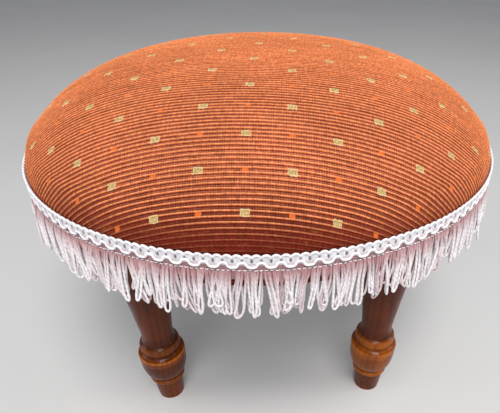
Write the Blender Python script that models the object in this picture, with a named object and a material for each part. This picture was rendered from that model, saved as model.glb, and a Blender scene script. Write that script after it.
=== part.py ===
"""Round padded kneeling stool on four turned legs.

Metres, +Z up. The origin is on the floor under the middle of the seat. Every separate piece of the
stool is its own object: board, foam, wadding, cover, bottom cloth, trims, legs and fasteners.
"""
import math

import bmesh
import bpy
from mathutils import Matrix, Vector

MM = 0.001
GAP = 0.3 * MM                     # clearance between neighbouring pieces

# Seat
SEAT_RADIUS = 185 * MM             # outside of the cloth cover at the rim
RIM_HEIGHT = 224 * MM              # where the side of the seat turns into the dome
DOME_HEIGHT = 63.5 * MM            # from the rim to the top of the dome
DOME_FLATNESS = 2.91               # exponent across: larger is flatter on top
DOME_FULLNESS = 1.49               # exponent up: larger is squarer at the rim
COVER_THICKNESS = 1.2 * MM
WADDING_THICKNESS = 4 * MM
BOARD_THICKNESS = 22 * MM
BOARD_BOTTOM = RIM_HEIGHT - BOARD_THICKNESS
BOARD_RADIUS = SEAT_RADIUS - COVER_THICKNESS - GAP
BOARD_EDGE_CHAMFER = 1 * MM
TURN_UNDER_RADIUS = 155 * MM       # inner edge of the cloth that is turned under the board
TURN_UNDER_CORNER = 0.8 * MM       # how far the cloth's lower corner is taken off

# Trims round the rim
HEADER_INNER_RADIUS = SEAT_RADIUS + GAP
HEADER_THICKNESS = 0.8 * MM
HEADER_TOP = 221 * MM
HEADER_BOTTOM = 206.5 * MM
TRIM_INNER_RADIUS = HEADER_INNER_RADIUS + HEADER_THICKNESS + GAP
GIMP_THICKNESS = 2 * MM
GIMP_TOP = 224.2 * MM
GIMP_BOTTOM = 215 * MM
FRINGE_THICKNESS = 3.6 * MM
FRINGE_TOP = GIMP_BOTTOM - GAP
FRINGE_BOTTOM = 181 * MM
BAND_CORNER = 0.3                  # share of a trim's thickness taken off its outer corners

# Fasteners and bottom cloth
TACK_HEAD_RADIUS = 3.2 * MM
TACK_HEAD_HEIGHT = 0.8 * MM
TACK_SHANK_RADIUS = 0.8 * MM
TACK_LENGTH = 11 * MM
TACK_POINT_LENGTH = 3 * MM
TACKS_IN_A_RING = 12
COVER_TACK_RADIUS = 161.5 * MM     # ring of tacks through the cover's turned-under edge
DUST_TACK_RADIUS = 171 * MM        # ring of tacks through the bottom cloth
DUST_COVER_RADIUS = 176 * MM
DUST_COVER_THICKNESS = 0.5 * MM
TURN_UNDER_BOTTOM = BOARD_BOTTOM - GAP - COVER_THICKNESS
COVER_TACK_BASE = TURN_UNDER_BOTTOM - GAP - TACK_HEAD_HEIGHT
DUST_COVER_BOTTOM = COVER_TACK_BASE - GAP - DUST_COVER_THICKNESS
DUST_TACK_BASE = DUST_COVER_BOTTOM - GAP - TACK_HEAD_HEIGHT
BOLT_RADIUS = 3 * MM
BOLT_BOTTOM = 160 * MM
BOLT_TOP = RIM_HEIGHT - 1 * MM
BOLT_TIP_LENGTH = 6 * MM
BOLT_CHAMFER = 0.6 * MM
NUT_BORE_RADIUS = BOLT_RADIUS + GAP
NUT_BARREL_RADIUS = 4.3 * MM
NUT_BARREL_LENGTH = 10 * MM
NUT_FLANGE_RADIUS = 9.5 * MM
NUT_FLANGE_THICKNESS = 1.4 * MM

# Legs
LEG_OFFSET = 98.4 * MM             # each leg's axis from the middle, along X and along Y
LEG_TOP = DUST_COVER_BOTTOM - GAP
FOOT_BOTTOM_RADIUS = 11.9 * MM
FOOT_TOP_RADIUS = 13.8 * MM
FOOT_HEIGHT = 22.8 * MM
FOOT_CHAMFER = 0.8 * MM
BEAD_RADIUS = 2.7 * MM             # half its height; it stands out of the leg as a half round
BEAD_MIDDLE = 27.2 * MM
BEAD_ROOT_RADIUS = 13.4 * MM
BALL_BOTTOM = 31.6 * MM
BALL_MIDDLE = 52.6 * MM              # height of the ball's widest place
BALL_NECK_RADIUS = 14 * MM
BALL_RADIUS = 20.7 * MM
BALL_SHOULDER = 60 * MM            # crisp ring at the top of the ball
SHOULDER_RISE = 1.8 * MM
GROOVE_RADIUS = 16.4 * MM
GROOVE_BOTTOM = 63.4 * MM
COLLAR_BOTTOM = 64.6 * MM
COLLAR_TOP = 73 * MM
COLLAR_BULGE = 1.2 * MM
COVE_RADIUS = 15 * MM              # start of the hollow between collar and neck
COVE_RISE = 1.2 * MM
NECK_RADIUS = 13.6 * MM
NECK_HEIGHT = 83 * MM
FLARE_RADIUS = 25.4 * MM
FLARE_CURVE = 1.08
LEG_TOP_CHAMFER = 1.2 * MM

CUT_MARGIN = 5 * MM                # how far a cutter reaches past the piece that it cuts

# Side of the middle that each leg stands on, along X and along Y
LEG_CORNERS = {
    "front_left": (-1, -1),
    "front_right": (1, -1),
    "rear_left": (-1, 1),
    "rear_right": (1, 1),
}

# Faceting
SEAT_STEPS = 48
LEG_STEPS = 20
SMALL_STEPS = 8
SHARP_ANGLE = math.radians(40)


def clear_scene():
    for old in list(bpy.data.objects):
        bpy.data.objects.remove(old, do_unlink=True)


def material(name, colour, roughness, metallic=0.0):
    made = bpy.data.materials.new(name)
    made.use_nodes = True
    made.diffuse_color = (*colour, 1)
    shader = made.node_tree.nodes["Principled BSDF"]
    shader.inputs["Base Color"].default_value = (*colour, 1)
    shader.inputs["Roughness"].default_value = roughness
    shader.inputs["Metallic"].default_value = metallic
    return made


def add_object(name, mesh, look=None, parent=None, location=(0, 0, 0)):
    made = bpy.data.objects.new(name, mesh)
    bpy.context.scene.collection.objects.link(made)
    made.location = location
    made.parent = parent
    if look is not None and not mesh.materials:
        mesh.materials.append(look)
    return made


def turned_mesh(name, outline, steps, closed=False):
    """A solid of revolution about Z. outline is (radius, height) points; closed joins its two ends."""
    bm = bmesh.new()
    points = [bm.verts.new((radius, 0, height)) for radius, height in outline]
    pairs = list(zip(points, points[1:]))
    if closed:
        pairs.append((points[-1], points[0]))
    edges = [bm.edges.new(pair) for pair in pairs]
    bmesh.ops.spin(
        bm, geom=points + edges, cent=(0, 0, 0), axis=(0, 0, 1), angle=2 * math.pi,
        steps=steps, use_merge=True,
    )
    bmesh.ops.remove_doubles(bm, verts=bm.verts, dist=0.001 * MM)
    bmesh.ops.recalc_face_normals(bm, faces=bm.faces)
    mesh = bpy.data.meshes.new(name)
    bm.to_mesh(mesh)
    bm.free()
    mesh.shade_smooth()
    mesh.set_sharp_from_angle(angle=SHARP_ANGLE)
    return mesh


def arc(middle_radius, middle_height, across, up, start, end, steps):
    """Points along an elliptical arc in a turned outline, from angle start to end in degrees."""
    angles = [math.radians(start + (end - start) * i / steps) for i in range(steps + 1)]
    return [(middle_radius + across * math.cos(a), middle_height + up * math.sin(a)) for a in angles]


def dome_outline(inset, steps=9):
    """The dome's profile from its top to the rim, moved inwards by inset. Its ends are exact."""
    points = []
    for i in range(steps + 1):
        turn = math.pi / 2 * (i / steps) ** 1.2
        across = math.sin(turn) ** (2 / DOME_FLATNESS)
        up = max(math.cos(turn), 0) ** (2 / DOME_FULLNESS)
        points.append(((SEAT_RADIUS - inset) * across, RIM_HEIGHT + (DOME_HEIGHT - inset) * up))
    points[0] = (0, points[0][1])
    points[-1] = (SEAT_RADIUS - inset, RIM_HEIGHT)
    return points


def ring_places(count, radius, first_turn=0.0):
    """Points on a circle about Z, evenly spaced, starting at first_turn of a full circle."""
    turns = [2 * math.pi * (i / count + first_turn) for i in range(count)]
    return [Vector((radius * math.cos(t), radius * math.sin(t), 0)) for t in turns]


def hole_cutter(name, places, radius, bottom, top, parent):
    """One cutter object holding a cylinder at each place, for a Boolean modifier."""
    bm = bmesh.new()
    for place in places:
        middle = Matrix.Translation((place.x, place.y, (bottom + top) / 2))
        bmesh.ops.create_cone(
            bm, cap_ends=True, segments=SMALL_STEPS, radius1=radius, radius2=radius,
            depth=top - bottom, matrix=middle,
        )
    mesh = bpy.data.meshes.new(name)
    bm.to_mesh(mesh)
    bm.free()
    made = add_object(name, mesh, parent=parent)
    made.display_type = "WIRE"
    made.hide_render = True
    return made


def cut(piece, cutter):
    modifier = piece.modifiers.new(cutter.name, "BOOLEAN")
    modifier.operation = "DIFFERENCE"
    modifier.solver = "EXACT"
    modifier.object = cutter


def make_seat_board(parent, look, cutters):
    outline = [
        (0, BOARD_BOTTOM),
        (BOARD_RADIUS - BOARD_EDGE_CHAMFER, BOARD_BOTTOM),
        (BOARD_RADIUS, BOARD_BOTTOM + BOARD_EDGE_CHAMFER),
        (BOARD_RADIUS, RIM_HEIGHT),
        (0, RIM_HEIGHT),
    ]
    board = add_object("seat_board", turned_mesh("seat_board", outline, SEAT_STEPS), look, parent)
    for cutter in cutters:
        cut(board, cutter)


def make_foam_pad(parent, look):
    inset = COVER_THICKNESS + WADDING_THICKNESS + 2 * GAP
    base = RIM_HEIGHT + GAP
    outline = [*dome_outline(inset)[:-1], (SEAT_RADIUS - inset, base), (0, base)]
    add_object("foam_pad", turned_mesh("foam_pad", outline, SEAT_STEPS), look, parent)


def make_wadding(parent, look):
    outer_inset = COVER_THICKNESS + GAP
    inner_inset = outer_inset + WADDING_THICKNESS
    outer = [*dome_outline(outer_inset)[:-1], (SEAT_RADIUS - outer_inset, RIM_HEIGHT + GAP)]
    inner = [*dome_outline(inner_inset)[:-1], (SEAT_RADIUS - inner_inset, RIM_HEIGHT + GAP)]
    outline = outer + inner[::-1]
    add_object("wadding", turned_mesh("wadding", outline, SEAT_STEPS), look, parent)


def make_fabric_cover(parent, look, cutters):
    """The cloth: over the dome, down the side, and turned under the board as one shell."""
    inner_radius = SEAT_RADIUS - COVER_THICKNESS
    outer = [
        *dome_outline(0),
        (SEAT_RADIUS, TURN_UNDER_BOTTOM + TURN_UNDER_CORNER),
        (SEAT_RADIUS - TURN_UNDER_CORNER, TURN_UNDER_BOTTOM),
        (TURN_UNDER_RADIUS, TURN_UNDER_BOTTOM),
    ]
    inner = [
        (TURN_UNDER_RADIUS, TURN_UNDER_BOTTOM + COVER_THICKNESS),
        (inner_radius, TURN_UNDER_BOTTOM + COVER_THICKNESS),
        *dome_outline(COVER_THICKNESS)[::-1],
    ]
    shell = turned_mesh("fabric_cover", outer + inner, SEAT_STEPS)
    cover = add_object("fabric_cover", shell, look, parent)
    for cutter in cutters:
        cut(cover, cutter)


def make_dust_cover(parent, look, cutters):
    top = DUST_COVER_BOTTOM + DUST_COVER_THICKNESS
    outline = [
        (0, DUST_COVER_BOTTOM),
        (DUST_COVER_RADIUS, DUST_COVER_BOTTOM),
        (DUST_COVER_RADIUS, top),
        (0, top),
    ]
    cloth = add_object("dust_cover", turned_mesh("dust_cover", outline, SEAT_STEPS), look, parent)
    for cutter in cutters:
        cut(cloth, cutter)


def make_band(name, inner_radius, thickness, bottom, top, parent, look):
    """A flat ring round the rim, with its outer corners taken off."""
    outer_radius = inner_radius + thickness
    corner = thickness * BAND_CORNER
    outline = [
        (inner_radius, bottom),
        (outer_radius - corner, bottom),
        (outer_radius, bottom + corner),
        (outer_radius, top - corner),
        (outer_radius - corner, top),
        (inner_radius, top),
    ]
    add_object(name, turned_mesh(name, outline, SEAT_STEPS, closed=True), look, parent)


def flare_outline(steps=4):
    """The trumpet between the neck and the top of the leg."""
    points = []
    for i in range(steps + 1):
        part = i / steps
        radius = NECK_RADIUS + (FLARE_RADIUS - NECK_RADIUS) * part ** FLARE_CURVE
        points.append((radius, NECK_HEIGHT + (LEG_TOP - LEG_TOP_CHAMFER - NECK_HEIGHT) * part))
    return points


def leg_outline():
    """One leg from the middle of its foot, up the outside, and down into the bolt's hole."""
    collar_middle = (COLLAR_BOTTOM + COLLAR_TOP) / 2
    collar_half = (COLLAR_TOP - COLLAR_BOTTOM) / 2
    bore_radius = BOLT_RADIUS + GAP
    return [
        (0, 0),
        (FOOT_BOTTOM_RADIUS - FOOT_CHAMFER, 0),
        (FOOT_BOTTOM_RADIUS, FOOT_CHAMFER),
        (FOOT_TOP_RADIUS, FOOT_HEIGHT),
        *arc(BEAD_ROOT_RADIUS, BEAD_MIDDLE, BEAD_RADIUS, BEAD_RADIUS, -80, 80, 3),
        *arc(BALL_NECK_RADIUS, BALL_MIDDLE, BALL_RADIUS - BALL_NECK_RADIUS,
             BALL_MIDDLE - BALL_BOTTOM, -90, 0, 4),
        (BALL_RADIUS - 0.3 * MM, BALL_SHOULDER),
        (BALL_RADIUS - 2 * MM, BALL_SHOULDER + SHOULDER_RISE),
        (GROOVE_RADIUS, GROOVE_BOTTOM),
        *arc(GROOVE_RADIUS, collar_middle, COLLAR_BULGE, collar_half, -90, 90, 3),
        (COVE_RADIUS, COLLAR_TOP + COVE_RISE),
        *flare_outline(),
        (FLARE_RADIUS - LEG_TOP_CHAMFER, LEG_TOP),
        (bore_radius, LEG_TOP),
        (bore_radius, BOLT_BOTTOM + BOLT_TIP_LENGTH),
        (0, BOLT_BOTTOM - GAP),
    ]


def hanger_bolt_outline():
    return [
        (0, BOLT_BOTTOM),
        (BOLT_RADIUS, BOLT_BOTTOM + BOLT_TIP_LENGTH),
        (BOLT_RADIUS, BOLT_TOP - BOLT_CHAMFER),
        (BOLT_RADIUS - BOLT_CHAMFER, BOLT_TOP),
        (0, BOLT_TOP),
    ]


def tee_nut_outline():
    flange_bottom = RIM_HEIGHT - NUT_FLANGE_THICKNESS
    barrel_bottom = RIM_HEIGHT - NUT_BARREL_LENGTH
    return [
        (NUT_BORE_RADIUS, barrel_bottom),
        (NUT_BARREL_RADIUS, barrel_bottom),
        (NUT_BARREL_RADIUS, flange_bottom),
        (NUT_FLANGE_RADIUS, flange_bottom),
        (NUT_FLANGE_RADIUS, RIM_HEIGHT),
        (NUT_BORE_RADIUS, RIM_HEIGHT),
    ]


def tack_outline():
    """A tack standing on its head, point up, with the lowest point of its head at height 0."""
    return [
        (0, 0),
        (TACK_HEAD_RADIUS * 0.6, TACK_HEAD_HEIGHT * 0.15),
        (TACK_HEAD_RADIUS, TACK_HEAD_HEIGHT * 0.7),
        (TACK_HEAD_RADIUS, TACK_HEAD_HEIGHT),
        (TACK_SHANK_RADIUS, TACK_HEAD_HEIGHT),
        (TACK_SHANK_RADIUS, TACK_LENGTH - TACK_POINT_LENGTH),
        (0, TACK_LENGTH),
    ]


def make_tacks(name, radius, base, first_turn, mesh, parent, look):
    for number, place in enumerate(ring_places(TACKS_IN_A_RING, radius, first_turn), start=1):
        add_object(f"{name}_{number:02d}", mesh, look, parent, (place.x, place.y, base))


def make_legs(parent, leg_look, steel_look):
    leg = turned_mesh("leg", leg_outline(), LEG_STEPS)
    bolt = turned_mesh("hanger_bolt", hanger_bolt_outline(), SMALL_STEPS)
    nut = turned_mesh("tee_nut", tee_nut_outline(), SMALL_STEPS, closed=True)
    for corner, (x, y) in LEG_CORNERS.items():
        place = (x * LEG_OFFSET, y * LEG_OFFSET, 0)
        add_object(f"leg_{corner}", leg, leg_look, parent, place)
        add_object(f"hanger_bolt_{corner}", bolt, steel_look, parent, place)
        add_object(f"tee_nut_{corner}", nut, steel_look, parent, place)


def main():
    clear_scene()
    stool = bpy.data.objects.new("kneeling_stool", None)
    bpy.context.scene.collection.objects.link(stool)

    wood = material("varnished_walnut", (0.20, 0.065, 0.022), 0.28)
    plywood = material("plywood", (0.55, 0.38, 0.22), 0.75)
    foam = material("foam", (0.86, 0.78, 0.52), 0.95)
    batting = material("batting", (0.9, 0.9, 0.88), 0.95)
    cloth = material("terracotta_cloth", (0.50, 0.16, 0.085), 0.9)
    black_cloth = material("bottom_cloth", (0.02, 0.02, 0.022), 0.95)
    braid = material("white_braid", (0.86, 0.84, 0.86), 0.8)
    yarn = material("white_yarn", (0.84, 0.81, 0.82), 0.85)
    steel = material("zinc_steel", (0.62, 0.62, 0.6), 0.35, 1.0)
    blued = material("blued_steel", (0.06, 0.065, 0.08), 0.4, 1.0)

    cover_tack_turn = 0.5 / TACKS_IN_A_RING
    tack_hole = TACK_SHANK_RADIUS + GAP
    below = DUST_COVER_BOTTOM - CUT_MARGIN
    above = RIM_HEIGHT + CUT_MARGIN
    cover_tack_holes = hole_cutter(
        "cover_tack_holes", ring_places(TACKS_IN_A_RING, COVER_TACK_RADIUS, cover_tack_turn),
        tack_hole, below, COVER_TACK_BASE + TACK_LENGTH + GAP, stool,
    )
    dust_tack_holes = hole_cutter(
        "dust_tack_holes", ring_places(TACKS_IN_A_RING, DUST_TACK_RADIUS),
        tack_hole, below, DUST_TACK_BASE + TACK_LENGTH + GAP, stool,
    )
    tack_holes = [cover_tack_holes, dust_tack_holes]
    leg_places = [Vector((x, y, 0)) * LEG_OFFSET for x, y in LEG_CORNERS.values()]
    barrel_holes = hole_cutter(
        "barrel_holes", leg_places, NUT_BARREL_RADIUS + GAP, below, above, stool,
    )
    flange_recesses = hole_cutter(
        "flange_recesses", leg_places, NUT_FLANGE_RADIUS + GAP,
        RIM_HEIGHT - NUT_FLANGE_THICKNESS - GAP, above, stool,
    )
    bolt_holes = hole_cutter(
        "bolt_holes", leg_places, BOLT_RADIUS + GAP, below, above, stool,
    )

    make_seat_board(stool, plywood, [*tack_holes, barrel_holes, flange_recesses])
    make_foam_pad(stool, foam)
    make_wadding(stool, batting)
    make_fabric_cover(stool, cloth, tack_holes)
    make_dust_cover(stool, black_cloth, [dust_tack_holes, bolt_holes])
    make_band(
        "fringe_header", HEADER_INNER_RADIUS, HEADER_THICKNESS, HEADER_BOTTOM, HEADER_TOP, stool, braid,
    )
    make_band(
        "gimp_braid", TRIM_INNER_RADIUS, GIMP_THICKNESS, GIMP_BOTTOM, GIMP_TOP, stool, braid,
    )
    make_band(
        "fringe_loops", TRIM_INNER_RADIUS, FRINGE_THICKNESS, FRINGE_BOTTOM, FRINGE_TOP, stool, yarn,
    )
    make_legs(stool, wood, steel)
    tack = turned_mesh("tack", tack_outline(), SMALL_STEPS)
    make_tacks("cover_tack", COVER_TACK_RADIUS, COVER_TACK_BASE, cover_tack_turn, tack, stool, blued)
    make_tacks("dust_cover_tack", DUST_TACK_RADIUS, DUST_TACK_BASE, 0, tack, stool, blued)


main()
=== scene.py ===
import math

import bpy
import numpy as np
from mathutils import Matrix, Vector
from mathutils.geometry import delaunay_2d_cdt


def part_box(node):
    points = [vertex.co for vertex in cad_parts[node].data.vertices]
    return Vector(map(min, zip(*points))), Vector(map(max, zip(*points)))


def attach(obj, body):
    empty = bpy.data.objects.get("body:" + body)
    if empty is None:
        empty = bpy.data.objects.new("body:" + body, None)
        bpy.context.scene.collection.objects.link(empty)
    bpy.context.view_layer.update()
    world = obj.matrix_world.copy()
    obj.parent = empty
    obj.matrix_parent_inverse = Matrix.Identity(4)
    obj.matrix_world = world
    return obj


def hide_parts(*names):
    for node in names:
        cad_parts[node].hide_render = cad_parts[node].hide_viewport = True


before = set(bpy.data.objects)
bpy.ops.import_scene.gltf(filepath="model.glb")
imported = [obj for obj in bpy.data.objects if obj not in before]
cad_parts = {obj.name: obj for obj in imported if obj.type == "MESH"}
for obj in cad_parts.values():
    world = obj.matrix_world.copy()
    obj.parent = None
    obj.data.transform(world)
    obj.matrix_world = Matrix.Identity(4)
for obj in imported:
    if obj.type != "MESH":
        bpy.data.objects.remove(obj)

MM = 0.001
TURN = 2 * math.pi
SEED = 41


def middle_of(node):
    low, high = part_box(node)
    return (low + high) / 2


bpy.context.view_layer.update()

# Where the CAD pieces are
COVER_LOW, COVER_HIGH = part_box("fabric_cover")
BOARD_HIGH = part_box("seat_board")[1]
GIMP_LOW, GIMP_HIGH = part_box("gimp_braid")
HEADER_LOW, HEADER_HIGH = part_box("fringe_header")
LOOPS_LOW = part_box("fringe_loops")[0]
DUST_LOW, DUST_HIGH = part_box("dust_cover")
FOAM_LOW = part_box("foam_pad")[0]

SEAT_RADIUS = COVER_HIGH.x
RIM_HEIGHT = BOARD_HIGH.z          # where the side of the seat turns into the dome
DOME_HEIGHT = COVER_HIGH.z - RIM_HEIGHT
DOME_FLATNESS = 2.91               # exponent across: larger is flatter on top
DOME_FULLNESS = 1.49               # exponent up: larger is squarer at the rim
COVER_THICKNESS = 1.2 * MM
HEM_RADIUS = 155 * MM              # inner edge of the cloth turned under the board
CORNER_RADIUS = 1.6 * MM           # bend of the cloth round the board's lower edge
INNER_GAP = 0.3 * MM

# The cloth's weave, in its own flat coordinates: u along the ribs and v across them, from the dome's top
CLOTH_TURN = math.radians(-4.31)
MOTIF_STEP_U = 26.53 * MM
MOTIF_STEP_V = 24.70 * MM
MOTIF_START_U = -1.38 * MM
MOTIF_START_V = -185.3 * MM
RIBS_PER_MOTIF = 8
RIB_PITCH = MOTIF_STEP_V / RIBS_PER_MOTIF
RIB_START = MOTIF_START_V - 0.78 * RIB_PITCH
RIB_HEIGHT = 0.72 * MM
RIB_RISE = 0.45 * MM               # the ridges stand this far above the CAD surface
# The cloth was pulled on a little off square: how far it bows at PULL_REACH from the middle
PULL_REACH = 200 * MM
BOW_U = 4.85 * MM
BOW_V = -10.9 * MM
# Places across one rib, from one groove to the next, and the height of the cloth there
RIB_SECTION = ((0.0, 0.0), (0.12, 0.66), (0.28, 1.0), (0.48, 0.94), (0.66, 0.56), (0.84, 0.40))
RIB_SWELLS = (17.0 * MM, 41.0 * MM, 9.5 * MM, 68.0 * MM)     # lengths over which a rib swells and thins
CREASE_RISE = 1.1 * MM             # the pad's edge pushes the cloth out a little in a ring
CREASE_DROP = 15 * MM              # above the braid, this far up the dome from the rim
CREASE_WIDTH = 6 * MM
RIB_FADE = 5 * MM                  # the ribs are pressed flat over this far under the braid
WARP_PITCH = 1.45 * MM
TWIST_PITCH = 0.95 * MM
CLOTH_COLUMNS = 80
FINE_EDGE_DROP = 5 * MM            # the finely woven part ends this far below the rim
COARSE_STEPS = 288
BATTING_THICKNESS = 4 * MM

# Trims
SCALLOPS = 111
PICOTS = 2 * SCALLOPS
SCALLOP_ANGLE = TURN / SCALLOPS
TRIM_RADIUS = 187 * MM             # middle of the trims, for lengths along them
CORD_RADIUS = 0.80 * MM
PICOT_RADIUS = 0.78 * MM
EYE_RADIUS = 0.36 * MM
EYE_PLACE = 187.0 * MM             # how far out the thin threads in the braid lie
BAND_BACK = 186.5 * MM
BAND_FACE = 186.6 * MM
SLOT_DEPTH = 0.6 * MM
SCALLOP_DEPTH = 3.0 * MM
TAPE_BACK = 185.35 * MM
HEADER_FACE = 186.1 * MM           # outer face of the woven tape the loops hang from
STITCHES = 392
LOOPS_IN_A_LAYER = 205
YARN_RADIUS = 0.77 * MM
YARN_POINTS = 27
YARN_SIDES = 6
# The fringe's layers: name, how far out it hangs, angle of its first loop, swing in mm, and how much painted
# shade it gets (the back layers darker)
FRINGE_LAYERS = (
    ("fringe_back", 186.7 * MM, 0.0, 0.5, 0.36),
    ("fringe_middle", 187.5 * MM, 0.008, 1.0, 0.14),
    ("fringe_front", 188.4 * MM, 0.016, 1.7, 0.03),
)

LEG_NAMES = ("front_left", "front_right", "rear_left", "rear_right")
LEG_STEPS = 96
GRAIN_PITCH = 5.2 * MM
LIT_RINGS = {"front_right": 0.42}     # painted light: the turned rings of this leg are painted paler and more golden than the others
TACKS = 12

# Studio lights: name, place, size in metres, power in watts and colour
LIGHT_TARGET = (0, 0, 0.2)
LIGHTS = (
    ("key", (0.2, -0.98, 2.0), 1.2, 33, (1.0, 0.99, 0.97)),
    ("fill", (-0.3, -1.8, 1.0), 1.4, 10, (0.97, 0.98, 1.0)),
    ("left", (-1.7, -0.2, 0.7), 0.9, 5, (1, 1, 1)),
    ("right", (1.7, -0.2, 0.7), 0.9, 6, (1, 1, 1)),
)
FLOOR_HALF = 8.0


# ---------------------------------------------------------------- node materials

class Look:
    """A material's node tree, built from short calls that each add one node and return its output."""

    def __init__(self, name, roughness=0.7, **sockets):
        self.material = bpy.data.materials.new(name)
        self.material.use_nodes = True
        self.tree = self.material.node_tree
        self.shader = self.tree.nodes["Principled BSDF"]
        self.shader.inputs["Roughness"].default_value = roughness
        for label, value in sockets.items():
            self.shader.inputs[label.replace("_", " ")].default_value = value

    def node(self, kind, inputs=(), **settings):
        made = self.tree.nodes.new(kind)
        for key, value in settings.items():
            setattr(made, key, value)
        for key, value in inputs:
            self.put(made.inputs[key], value)
        return made

    def put(self, socket, value):
        if isinstance(value, bpy.types.NodeSocket):
            self.tree.links.new(value, socket)
        else:
            socket.default_value = value

    def maths(self, operation, *values):
        inputs = list(enumerate(values))
        return self.node("ShaderNodeMath", inputs, operation=operation).outputs[0]

    def times(self, first, *others):
        for other in others:
            first = self.maths("MULTIPLY", first, other)
        return first

    def plus(self, first, second):
        return self.maths("ADD", first, second)

    def minus(self, first, second):
        return self.maths("SUBTRACT", first, second)

    def over(self, first, second):
        return self.maths("DIVIDE", first, second)

    def times_plus(self, value, factor, offset):
        return self.maths("MULTIPLY_ADD", value, factor, offset)

    def length(self, x, y):
        return self.maths("SQRT", self.plus(self.times(x, x), self.times(y, y)))

    def wave(self, turn):
        """A sine wave from 0 to 1; turn is in radians."""
        return self.times_plus(self.maths("SINE", turn), 0.5, 0.5)

    def vector(self, x, y=0.0, z=0.0):
        return self.node("ShaderNodeCombineXYZ", ((0, x), (1, y), (2, z))).outputs[0]

    def uv(self):
        made = self.node("ShaderNodeUVMap", uv_map="cloth")
        split = self.node("ShaderNodeSeparateXYZ", ((0, made.outputs[0]),))
        return split.outputs[0], split.outputs[1]

    def place(self):
        """The point in the piece's own space, as x, y, z."""
        made = self.node("ShaderNodeTexCoord")
        split = self.node("ShaderNodeSeparateXYZ", ((0, made.outputs["Object"]),))
        return split.outputs[0], split.outputs[1], split.outputs[2]

    def mark(self, name):
        return self.node("ShaderNodeAttribute", attribute_name=name).outputs["Fac"]

    def noise(self, vector, scale=1.0, detail=2.0, rough=0.5):
        inputs = (("Vector", vector), ("Scale", scale), ("Detail", detail), ("Roughness", rough))
        return self.node("ShaderNodeTexNoise", inputs).outputs[0]

    def streaks(self, place, stretch, detail=2.0):
        """Noise with its own scale along each coordinate of place."""
        parts = [self.times(value, scale) for value, scale in zip(place, stretch)]
        return self.noise(self.vector(*parts), 1.0, detail)

    def ramp(self, factor, stops):
        """Colours or greys along 0 to 1; stops are (place, colour) pairs."""
        made = self.node("ShaderNodeValToRGB", ((0, factor),))
        spots = made.color_ramp.elements
        while len(spots) < len(stops):
            spots.new(1.0)
        for spot, (place, colour) in zip(spots, stops):
            spot.position = place
            spot.color = (*colour, 1) if isinstance(colour, tuple) else (colour, colour, colour, 1)
        return made.outputs[0]

    def step(self, value, low, high, start=0.0, end=1.0):
        """value taken smoothly from start at low to end at high."""
        inputs = ((0, value), (1, low), (2, high), (3, start), (4, end))
        made = self.node("ShaderNodeMapRange", inputs, interpolation_type="SMOOTHSTEP")
        return made.outputs[0]

    def mix(self, factor, first, second, blend="MIX"):
        made = self.node("ShaderNodeMix", data_type="RGBA", blend_type=blend)
        self.put(made.inputs[0], factor)
        for socket, value in ((made.inputs[6], first), (made.inputs[7], second)):
            self.put(socket, (*value, 1) if isinstance(value, tuple) else value)
        return made.outputs[2]

    def shade(self, colour, amount):
        """colour made lighter or darker by amount, a number or an output near 1."""
        grey = self.node("ShaderNodeCombineColor", ((0, amount), (1, amount), (2, amount))).outputs[0]
        return self.mix(1.0, colour, grey, "MULTIPLY")

    def band(self, value, half, soft):
        """1 where value is within half of zero, falling to 0 over soft."""
        return self.step(self.maths("ABSOLUTE", value), half, half + soft, 1.0, 0.0)

    def finish(self, colour, height=None, distance=0.3 * MM, strength=1.0, roughness=None):
        self.put(self.shader.inputs["Base Color"], colour)
        if roughness is not None:
            self.put(self.shader.inputs["Roughness"], roughness)
        if height is not None:
            inputs = (("Strength", strength), ("Distance", distance), ("Height", height))
            bump = self.node("ShaderNodeBump", inputs)
            self.put(self.shader.inputs["Normal"], bump.outputs[0])
        return self.material


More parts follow.
